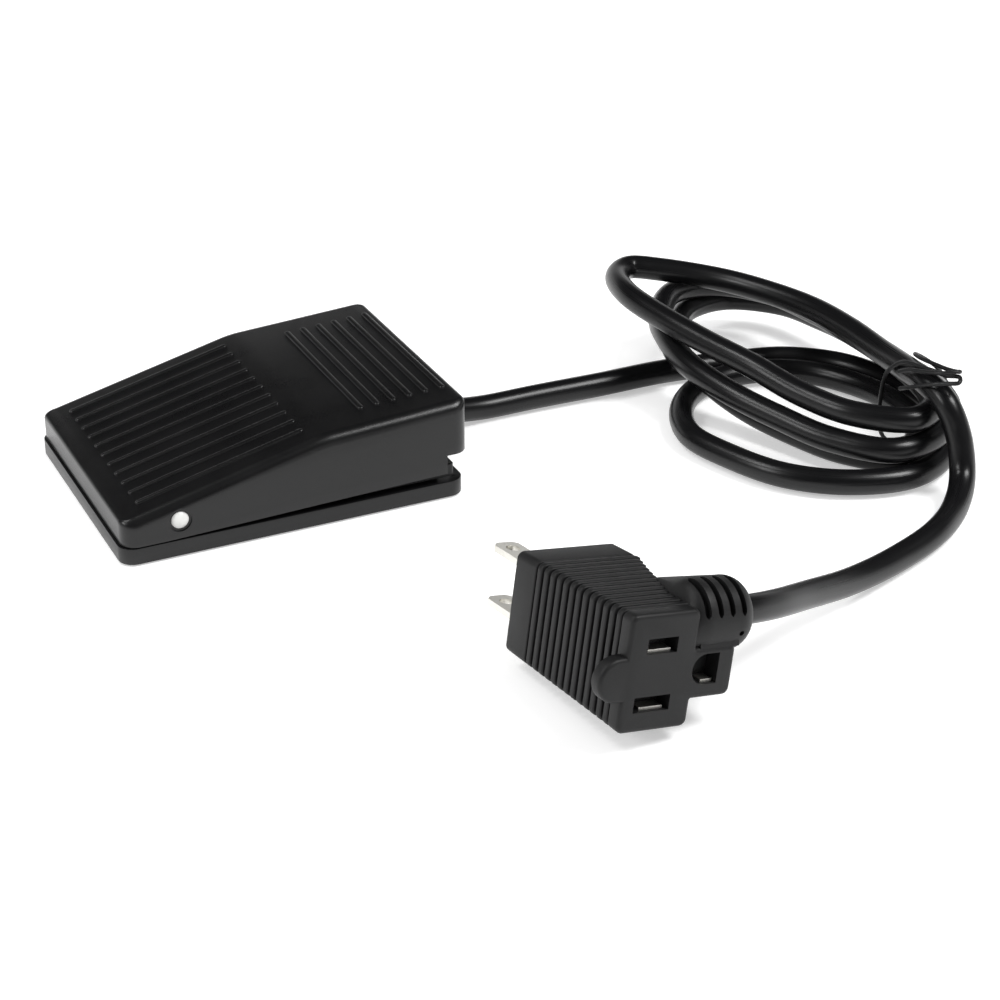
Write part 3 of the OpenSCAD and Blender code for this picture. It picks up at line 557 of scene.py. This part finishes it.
def coverShell():
    c, side, edge = coverSizes, coverSteps["side"], coverSteps["edge"]
    bm = bmesh.new()
    columns = []
    for x, y, nx, ny in coverRing():
        front, rear = max(0, -ny) ** 2, max(0, ny) ** 2
        r = c["edge"] * (1 - front - rear) + c["nose"] * front + c["rearEdge"] * rear
        low, top = lowHeight(y, ny > 0.05), topHeight(y + (-ny) * r) - r
        column = [(x, y, low + (top - low) * k / side) for k in range(side)]
        for k in range(edge + 1):
            a = math.pi / 2 * k / edge
            inset = r * (1 - math.cos(a))
            inY = y - ny * inset
            column.append((x - nx * inset, inY, topHeight(inY) - r + r * math.sin(a)))
        columns.append(column)
    left, right = [[[bm.verts.new((way * x * mm, y * mm, z * mm)) for x, y, z in column]
                    for column in columns] for way in (1, -1)]
    rows = len(columns[0])
    for i in range(len(columns) - 1):
        for k in range(rows - 1):
            bm.faces.new((left[i][k], left[i][k + 1], left[i + 1][k + 1], left[i + 1][k]))
            bm.faces.new((right[i + 1][k], right[i + 1][k + 1], right[i][k + 1], right[i][k]))
        bm.faces.new((left[i][-1], right[i][-1], right[i + 1][-1], left[i + 1][-1]))
    for i in (0, -1):
        for k in range(rows - 1):
            bm.faces.new((right[i][k], right[i][k + 1], left[i][k + 1], left[i][k]))
    finishMesh(bm)
    if sum(f.normal.z for f in bm.faces) < 0:  # the shell is open below, so its faces are turned by hand
        bmesh.ops.reverse_faces(bm, faces=bm.faces)
    return bm


def makeCover():
    c = coverSizes
    cover = newPiece("tread_cover", coverShell(), finishes["cover"], "cover", 0)
    shell = cover.modifiers.new("wall", "SOLIDIFY")
    shell.thickness, shell.offset, shell.use_even_offset = c["wall"] * mm, -1, True
    settle(cover, 0)
    for across, deep in ((c["pinHole"], c["pinHoleDeep"]), (c["pinRecess"], c["pinRecessDeep"])):
        bm = bmesh.new()
        outline = circleOutline(across / 2, coverSteps["pin"], (c["pinY"], c["pinZ"]))
        for side in (-1, 1):
            ends = side * (c["width"] / 2 - deep), side * (c["width"] / 2 + 2)
            addBar(bm, outline, min(ends), max(ends), alongX)
        cutBy(cover, cutter("pinCutter", bm))
    # room for the cord's sleeve when the rear comes down
    bm = bmesh.new()
    outline = circleOutline(c["notch"] / 2, coverSteps["notch"], (0, c["notchZ"]))
    addBar(bm, outline, c["notchFrom"], c["notchTo"], alongY)
    cutBy(cover, cutter("notchCutter", bm))
    breakEdges(cover, c["edgeBreak"], c["edgeAngle"])
    settle(cover, c["smooth"])
    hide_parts("pedal_cover")


makeCover()

# ribs: eleven along the slope and six across the rear, in millimetres
ribSizes = {"slopeCount": 11, "slopePitch": 5.5, "slopeWidth": 1.5, "slopeLength": 44,
            "rearCount": 6, "rearPitch": 4.35, "rearWidth": 1.6, "rearLength": 51.4,
            "rise": 0.55, "sunk": 0.6, "endSteps": 12}
ribBack = ((0, 0.35), (0.06, 0.62), (0.16, 0.84), (0.3, 0.96), (0.44, 1))  # drawn in by, and risen to


def ribMesh(length, width, place):
    # a long bar with round ends and a rounded back, its foot sunk in the wall
    rise, steps = ribSizes["rise"], ribSizes["endSteps"]
    bm = bmesh.new()
    rings = []
    for inset, height in [(0, -ribSizes["sunk"])] + [(width * a, rise * b) for a, b in ribBack]:
        r, ring = width / 2 - inset, []
        for end in (-1, 1):
            for k in range(steps + 1):
                a = -math.pi / 2 + math.pi * k / steps + (math.pi if end < 0 else 0)
                along = end * (length - width) / 2 + r * math.cos(a)
                ring.append(bm.verts.new(place(along, r * math.sin(a), height)))
        rings.append(ring)
    skin(bm, rings)
    return finishMesh(bm, 0.0000005)


def makeRibs():
    c, r = coverSizes, ribSizes
    rise, fall = (math.atan(slope) for slope in coverSlopes())
    midY = (c["frontY"] + c["crease"]) / 2
    firstX = -(r["slopeCount"] - 1) / 2 * r["slopePitch"]

    def onSlope(a, b, h):
        y = midY + a * math.cos(rise) - h * math.sin(rise)
        return ((firstX + b) * mm, y * mm, (topHeight(midY) + a * math.sin(rise) + h * math.cos(rise)) * mm)

    def onRear(a, b, h):
        y = c["rearY"] - b * math.cos(fall) - h * math.sin(fall)
        return (a * mm, y * mm, (c["rearZ"] - b * math.sin(fall) + h * math.cos(fall)) * mm)

    slopeStep = (r["slopePitch"] * mm, 0, 0)
    rearStep = (0, -r["rearPitch"] * math.cos(fall) * mm, -r["rearPitch"] * math.sin(fall) * mm)
    for row, place, step in (("slope", onSlope, slopeStep), ("rear", onRear, rearStep)):
        mesh = ribMesh(r[row + "Length"], r[row + "Width"], place)
        piece = newPiece(row + "_ribs", mesh, finishes["cover"], "cover", 0)
        repeat(piece, r[row + "Count"], step, finishes["cover"])


makeRibs()
print("cover and ribs made")


# base plate: the node's own solid with its edges broken
baseSizes = {"edgeBreak": 0.3, "edgeAngle": 50, "smooth": 32}


def makeBase():
    base = newPiece("floor_plate", fromNode("base_plate"), finishes["base"], "base", 0)
    breakEdges(base, baseSizes["edgeBreak"], baseSizes["edgeAngle"])
    settle(base, baseSizes["smooth"])
    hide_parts("base_plate")


makeBase()
print("base made")


# plug: made in its own frame, in millimetres (x to the cord, y to the blades, z up), then put in place
plugSizes = {"turn": (-5.4, 11.3, 95.1), "length": 44, "left": -9.15, "right": 8.55, "blockRight": 18.55,
             "blockLow": -7, "blockTop": 4.2, "face": 13, "back": 11.6, "faceBand": 3.8, "bladeBand": 8,
             "deep": 0.9, "corner": 1.7, "sunkCorner": 1, "waistCorner": 1.3, "innerCorner": 0.4,
             "faceRim": 1, "stepRim": 0.3, "bladeRim": 0.6, "smooth": 35}
waistSizes = {"from": 4.8, "bend": 21.3, "to": 34.6, "low": 8.25, "middle": 12, "high": 16.8,
              "slope": 0.2273, "steep": 0.3609}
earSizes = {"right": -7, "left": -15.25, "low": -6, "top": 3.8, "near": 0.03, "thick": 3.2, "corner": 4.89,
            "steps": 14, "rim": 0.9}
neckSizes = {"discs": ((7.45, 6.5, 7, 5.9), (11, 17, 6.9, 6.4)), "to": 18.4, "from": 11.6, "round": 3.6,
             "over": 0.2, "drawn": 2.6, "steps": 5}
webSizes = {"outline": ((0.25, 3.9), (1.1, 7.2), (3, 7.2), (3, 3.9)), "from": 9.4, "to": 19.4}
reliefSizes = {"end": (24.35, 7.7, 8.5), "tube": 8, "from": 17.5, "round": 5, "lip": 0.15, "turn": 88,
               "steps": 10, "sides": 56}
slotSizes = {"first": 10.2, "pitch": 3.1, "width": 1.4, "inner": 6.5, "outer": 10, "roundEnd": 0.25,
             "steps": 18, "rows": ((15, 98, 0, 4), (124, 165, 2, 2))}  # two angles, first place, how many
holeSizes = {"pins": (-0.7, -0.45), "bladePitch": 12.7, "left": 3.75, "wideLeft": 5.25, "right": 3.75,
             "height": 3.4, "deep": 10, "ground": 11.9, "groundHole": 3.4, "groundFlat": 0.2, "steps": 20,
             "spare": (19.3, 6.7), "spareHole": 0.6, "spareSides": 16, "spareDeep": 3, "over": 2}
gripSizes = {"count": 13, "gap": 0.8, "rounded": 0.42, "thin": 0.02, "corners": (1.7, 1.2, 0.3, 1.7),
             "sideLeft": 7, "sideCorners": (0.3, 1.2, 0.9, 0.3), "shoulderX": 6, "shoulder": (-1, 2.3, 3),
             "shoulderTop": 0.03, "shoulderCorners": (0.3, 0.3, 0.7, 0.3), "grow": 0.1696,
             "growMore": 0.01153}


def plugPlace():
    x, y, z = [Matrix.Rotation(math.radians(a), 4, axis) for a, axis in zip(plugSizes["turn"], "XYZ")]
    way = z @ y @ x
    return Matrix.Translation(Vector(cordRoute[-1]) - way @ (Vector(reliefSizes["end"]) * mm)) @ way


def drawnIn(outline, inset):
    # every corner of an outline moved inwards by the same distance
    area = sum(a[0] * b[1] - b[0] * a[1] for a, b in zip(outline, outline[1:] + outline[:1]))
    made = []
    for i, point in enumerate(outline):
        here, back, on = Vector(point), Vector(outline[i - 1]), Vector(outline[(i + 1) % len(outline)])
        a, b = (here - back).normalized(), (on - here).normalized()
        a, b = Vector((-a.y, a.x)), Vector((-b.y, b.x))
        made.append(tuple(here + (a + b) / max(0.4, 1 + a.dot(b)) * math.copysign(inset, area)))
    return made


def addLoft(bm, sections):
    # a skin over outlines of the same number of corners, each at its own distance from the face
    skin(bm, [[bm.verts.new(alongY(x, z, y)) for x, z in outline] for y, outline in sections])


def addPlate(bm, nearOutline, farOutline, near, far, nearRound, farRound):
    # a plate between two outlines, its rims rounded
    rims = [(math.sin(a), math.cos(a)) for a in (math.pi / 2 * k / 4 for k in range(5))]
    sections = [(near + nearRound * (1 - c), drawnIn(nearOutline, nearRound * (1 - s))) for s, c in rims]
    sections += [(far - farRound * (1 - s), drawnIn(farOutline, farRound * (1 - c))) for s, c in rims]
    addLoft(bm, sections)


def plugHalf(y):
    p = plugSizes
    return p["face"] + (p["back"] - p["face"]) * y / p["length"]


def plugWaist(y):
    # where the top of the main section ends towards the cord
    w = waistSizes
    if y <= w["from"]:
        return w["low"]
    if y < w["bend"]:
        return w["low"] + (y - w["from"]) * w["slope"]
    return min(w["high"], w["middle"] + (y - w["bend"]) * w["steep"])


def plugOutline(y, inset=0, soft=plugSizes["corner"]):
    p, half, waist = plugSizes, plugHalf(y), plugWaist(y) - inset
    left, right, block = p["left"] + inset, p["right"] - inset, p["blockRight"] - inset
    low, top = p["blockLow"] + inset, p["blockTop"] - inset
    points = [(left, inset - half), (right, inset - half), (right, low), (block, low), (block, top),
              (waist, top), (waist, half - inset), (left, half - inset)]
    inner = p["innerCorner"]
    return roundOutline(points, (soft, soft, inner, soft, min(soft, p["waistCorner"]), inner, soft, soft))


def addDisc(bm, x, y, z, radius):
    sides = reliefSizes["sides"]
    return [bm.verts.new(alongY(x, z + radius * math.sin(a), y + radius * math.cos(a)))
            for a in (2 * math.pi * k / sides for k in range(sides))]


def addNeck(bm):
    # the swelling that runs from the body's top into the strain relief, rounded on its left
    n, (y, z), r = neckSizes, reliefSizes["end"][1:], reliefSizes["tube"]
    made = []
    for disc in (*n["discs"], (n["to"], y, z, r)):
        made += addDisc(bm, *disc)
    for k in range(n["steps"] + 1):
        a = math.pi / 2 * k / n["steps"]
        radius = r + n["over"] - n["drawn"] * (1 - math.sin(a))
        made += addDisc(bm, n["from"] - n["round"] * math.cos(a), y, z, radius)
    hull = bmesh.ops.convex_hull(bm, input=made)
    spare = set(hull["geom_interior"]) | set(hull["geom_unused"])
    bmesh.ops.delete(bm, geom=[v for v in spare if isinstance(v, bmesh.types.BMVert)], context="VERTS")


def addRelief(bm):
    # a round boss with a domed end, which the cord leaves
    r = reliefSizes
    x, y, z = r["end"]
    start = x - r["round"] - r["lip"]
    rings = [addDisc(bm, r["from"], y, z, r["tube"] - 0.02), addDisc(bm, start, y, z, r["tube"])]
    for k in range(1, r["steps"] + 1):
        a = math.radians(r["turn"]) * k / r["steps"]
        radius = r["tube"] - r["round"] * (1 - math.cos(a))
        rings.append(addDisc(bm, start + r["round"] * math.sin(a), y, z, radius))
    skin(bm, rings)


def slotCutter(fromAngle, toAngle, place, count):
    # crescent slots round the relief, with round ends
    c, (y, z) = slotSizes, reliefSizes["end"][1:]
    first = c["first"] + place * c["pitch"]
    bm = bmesh.new()
    rings = []
    for k in range(c["steps"] + 1):
        toEnd = abs(2 * k / c["steps"] - 1)
        a = math.radians(fromAngle + (toAngle - fromAngle) * k / c["steps"])
        closing = max(0, (toEnd - 1 + c["roundEnd"]) / c["roundEnd"])
        half = c["width"] / 2 * math.sqrt(max(0.02, 1 - closing ** 2))
        corners = ((-half, c["inner"]), (half, c["inner"]), (half, c["outer"]), (-half, c["outer"]))
        rings.append([bm.verts.new(alongY(first + x, z + r * math.sin(a), y - r * math.cos(a)))
                      for x, r in corners])
    skin(bm, rings)
    tool = cutter("slotCutter", bm)
    repeat(tool, count, (c["pitch"] * mm, 0, 0), finishes["plug"])
    return tool


def receptacleCutter():
    # two blade slots, one of them wider, a ground hole with a flat side, and a small spare hole
    h = holeSizes
    x0, z0 = h["pins"]
    bm = bmesh.new()
    for side, left in ((1, x0 - h["left"]), (-1, x0 - h["wideLeft"])):
        z, right = z0 + side * h["bladePitch"] / 2, x0 + h["right"]
        low, top = z - h["height"] / 2, z + h["height"] / 2
        addBar(bm, [(left, low), (right, low), (right, top), (left, top)], -h["over"], h["deep"], alongY)
    r, x = h["groundHole"], x0 + h["ground"]
    arc = [(x - r * math.sin(a), z0 + r * math.cos(a))
           for a in (math.pi * k / h["steps"] for k in range(h["steps"] + 1))]
    flat = x + r - h["groundFlat"]
    addBar(bm, arc + [(flat, z0 - r), (flat, z0 + r)], -h["over"], h["deep"], alongY)
    spare = circleOutline(h["spareHole"], h["spareSides"], h["spare"])
    addBar(bm, spare, -h["over"], h["spareDeep"], alongY)
    return cutter("receptacleCutter", bm)


def makeShell():
    # the body, its ear, the neck and the relief joined one by one, then hollowed for the pins and slotted
    p, e, w = plugSizes, earSizes, waistSizes
    face, band, rim = p["faceBand"], p["length"] - p["bladeBand"], p["stepRim"]
    corners = [(e["right"], e["low"]), (e["right"], e["top"]), (e["left"], e["top"]), (e["left"], e["low"])]
    ear = roundOutline(corners, (0, 0, e["corner"], e["corner"]), e["steps"])
    stations = (face - 1, w["from"], w["bend"], w["to"], band + 1)
    forms = [bmesh.new() for k in range(7)]
    addPlate(forms[0], plugOutline(0), plugOutline(face), 0, face, p["faceRim"], rim)
    addPlate(forms[1], ear, ear, e["near"], e["thick"], e["rim"], rim)
    addLoft(forms[2], [(y, plugOutline(y, p["deep"], p["sunkCorner"])) for y in stations])
    addPlate(forms[3], plugOutline(band), plugOutline(p["length"]), band, p["length"], rim, p["bladeRim"])
    addNeck(forms[4])
    addRelief(forms[5])
    addBar(forms[6], webSizes["outline"], webSizes["from"], webSizes["to"], alongX)
    shell = newPiece("plug_shell", finishMesh(forms[0]), finishes["plug"], "base", 0)
    for form in forms[1:]:
        cutBy(shell, cutter("plugForm", form), "UNION")
    cutBy(shell, receptacleCutter())
    for row in slotSizes["rows"]:
        cutBy(shell, slotCutter(*row))
    shell.data.transform(plugPlace())
    settle(shell, p["smooth"])
    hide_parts("plug_body", "plug_relief")
    return shell


def makeGrips():
    # three rows of grip ribs: round the main section, round the ground side, and on the widening shoulder
    p, g = plugSizes, gripSizes
    face, band = p["faceBand"], p["length"] - p["bladeBand"]
    pitch = (band - face) / g["count"]
    near, far = face + g["gap"] / 2, face + pitch - g["gap"] / 2
    half = plugHalf((near + far) / 2)
    shrink = -(p["face"] - p["back"]) / p["length"] * pitch / half
    shoulderLeft, shoulderRight, shoulderLow = g["shoulder"]
    rows = (("plug_ribs", (p["left"], p["right"], -half, half), g["corners"], 0, 0, (0, 0, shrink), 0),
            ("plug_ground_ribs", (g["sideLeft"], p["blockRight"], p["blockLow"], p["blockTop"]),
             g["sideCorners"], 0, g["thin"], (0, 0, 0), 0),
            ("plug_shoulder_ribs", (shoulderLeft, shoulderRight, shoulderLow, half - g["shoulderTop"]),
             g["shoulderCorners"], g["shoulderX"], g["thin"], (g["grow"], 0, shrink), g["growMore"]))
    made = []
    for name, (left, right, low, top), radii, x, thin, scaleStep, bend in rows:
        bm = bmesh.new()
        outline = roundOutline([(left, low), (right, low), (right, top), (left, top)], radii)
        rounded = min(g["rounded"], min(radii) + 0.1)
        addPlate(bm, outline, outline, near + thin, far - thin, rounded, rounded)
        row = newPiece(name, finishMesh(bm), finishes["plug"], "base", 0)
        repeat(row, g["count"], (0, pitch * mm, 0), finishes["plug"], scaleStep, (bend, 0, 0))
        row.data.transform(plugPlace() @ Matrix.Translation((x * mm, 0, 0)))
        made.append(row)
    return made


plugPieces = [makeShell()] + makeGrips()
print("plug made:", len(plugPieces), "pieces")


# tie: a coated wire round the crossing strands, the same points as the part's own, in metres
tieRoute = [
    (0.069, 0.1475, 0.0225), (0.073, 0.1476, 0.0245), (0.078, 0.149, 0.027), (0.0825, 0.152, 0.0286),
    (0.0843, 0.1538, 0.0292), (0.0825, 0.1552, 0.0297), (0.079, 0.1538, 0.0289), (0.076, 0.1526, 0.0291),
    (0.071, 0.1516, 0.0286), (0.065, 0.1509, 0.0275), (0.0615, 0.1505, 0.025), (0.0586, 0.1504, 0.0215),
    (0.057, 0.1505, 0.014), (0.0568, 0.151, 0.006), (0.0568, 0.1535, 0.0016), (0.0568, 0.158, 0.0007),
    (0.0568, 0.168, 0.0007), (0.057, 0.173, 0.0009), (0.0572, 0.1758, 0.0045), (0.0575, 0.1746, 0.009),
    (0.058, 0.1705, 0.0145), (0.0586, 0.1665, 0.02), (0.0593, 0.161, 0.0244), (0.0606, 0.1574, 0.0267),
    (0.0656, 0.1556, 0.0279), (0.072, 0.1558, 0.0286), (0.077, 0.1562, 0.0292), (0.0802, 0.1566, 0.0299),
    (0.082, 0.1552, 0.031), (0.0804, 0.1518, 0.0306), (0.076, 0.1498, 0.0295), (0.0705, 0.1488, 0.028),
    (0.067, 0.1483, 0.0262),
]
tieSizes = {"diameter": 0.0011, "sides": 12, "steps": 6, "firstWay": (0.85, 0.02, 0.5),
            "lastWay": (-0.85, -0.1, -0.5), "smooth": 60}


def makeTie():
    t = tieSizes
    line = smoothLine(tieRoute, t["steps"], t["firstWay"], t["lastWay"])
    bm, length = tubeMesh(line, t["diameter"] / 2, t["sides"])
    tie = newPiece("tie_wire", bm, finishes["tie"], smooth=t["smooth"])
    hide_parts("cord_tie")
    print("tie made:", round(length, 3), "m")
    return tie


tieWire = makeTie()


# floor, lamps and surroundings
studio = {"floor": (0.8, 0.8, 0.8), "floorSize": 3, "floorZ": -0.0002, "white": (1, 1, 1, 1), "glow": 0.42,
          "around": 0.5, "horizon": 1.0, "overhead": 0.02, "fadeFrom": 0.12, "fadeTo": 0.32, "behind": 1.0}
lamps = {"topSoftbox": {"place": (0.42, 0.5, 0.8), "aim": (0.04, 0.06, 0), "size": 0.34, "power": 7},
         "leftSoftbox": {"place": (-0.2, -0.42, 0.86), "aim": (0.04, 0.06, 0), "size": 0.26, "power": 2.5},
         "frontSoftbox": {"place": (0.06, -0.75, 0.58), "aim": (0.04, 0, 0), "size": 0.25, "power": 2.5}}


def addFloor():
    # pale and matt; seen by the camera and in reflections it glows a little, so that it stays white
    bm = bmesh.new()
    bmesh.ops.create_grid(bm, x_segments=2, y_segments=2, size=studio["floorSize"])
    floor = newPiece("floor", bm, None, None, 0)
    floor.location = (0, 0, studio["floorZ"])
    f = Finish("paleFloor")
    shader = f.node("ShaderNodeBsdfDiffuse", {}, {"Color": (*studio["floor"], 1)})
    glow = f.node("ShaderNodeEmission", {}, {"Color": studio["white"], "Strength": studio["glow"]})
    both = f.node("ShaderNodeAddShader", {}, {0: shader, 1: glow})
    mixed = f.mixShader(f.ray("Is Camera Ray") + f.ray("Is Glossy Ray"), shader, both)
    f.feed(f.output, {"Surface": mixed})
    floor.data.materials.append(f.material)


def addLamps():
    for name, given in lamps.items():
        lamp = bpy.data.lights.new(name, "AREA")
        lamp.shape, lamp.energy = "RECTANGLE", given["power"]
        lamp.size = lamp.size_y = given["size"]
        piece = bpy.data.objects.new(name, lamp)
        piece.location = given["place"]
        piece.rotation_mode = "QUATERNION"
        piece.rotation_quaternion = (Vector(given["aim"]) - Vector(given["place"])).to_track_quat("-Z", "Y")
        bpy.context.collection.objects.link(piece)


def addWorld():
    # white to the camera; in reflections a white horizon under a dark ceiling
    world = bpy.data.worlds.new("studio")
    bpy.context.scene.world = world
    world.use_nodes = True
    world.node_tree.nodes.clear()
    w = Graph(world.node_tree)
    height = w.node("ShaderNodeSeparateXYZ", {}, {0: w.place("Generated")}, "Z")
    fade = w.node("ShaderNodeMapRange", {"interpolation_type": "SMOOTHSTEP"},
                  {"Value": height, "From Min": studio["fadeFrom"], "From Max": studio["fadeTo"],
                   "To Min": studio["horizon"], "To Max": studio["overhead"]})
    plain, mirrored, behind = [
        w.node("ShaderNodeBackground", {}, {"Color": studio["white"], "Strength": strength})
        for strength in (studio["around"], fade, studio["behind"])]
    mixed = w.mixShader(w.ray("Is Glossy Ray"), plain, mirrored)
    mixed = w.mixShader(w.ray("Is Camera Ray"), mixed, behind)
    w.feed(world.node_tree.nodes.new("ShaderNodeOutputWorld"), {"Surface": mixed})


addFloor()
addLamps()
addWorld()
bpy.context.scene.view_settings.view_transform = "Standard"
print("studio set")

for piece, body in rides:
    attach(piece, body)
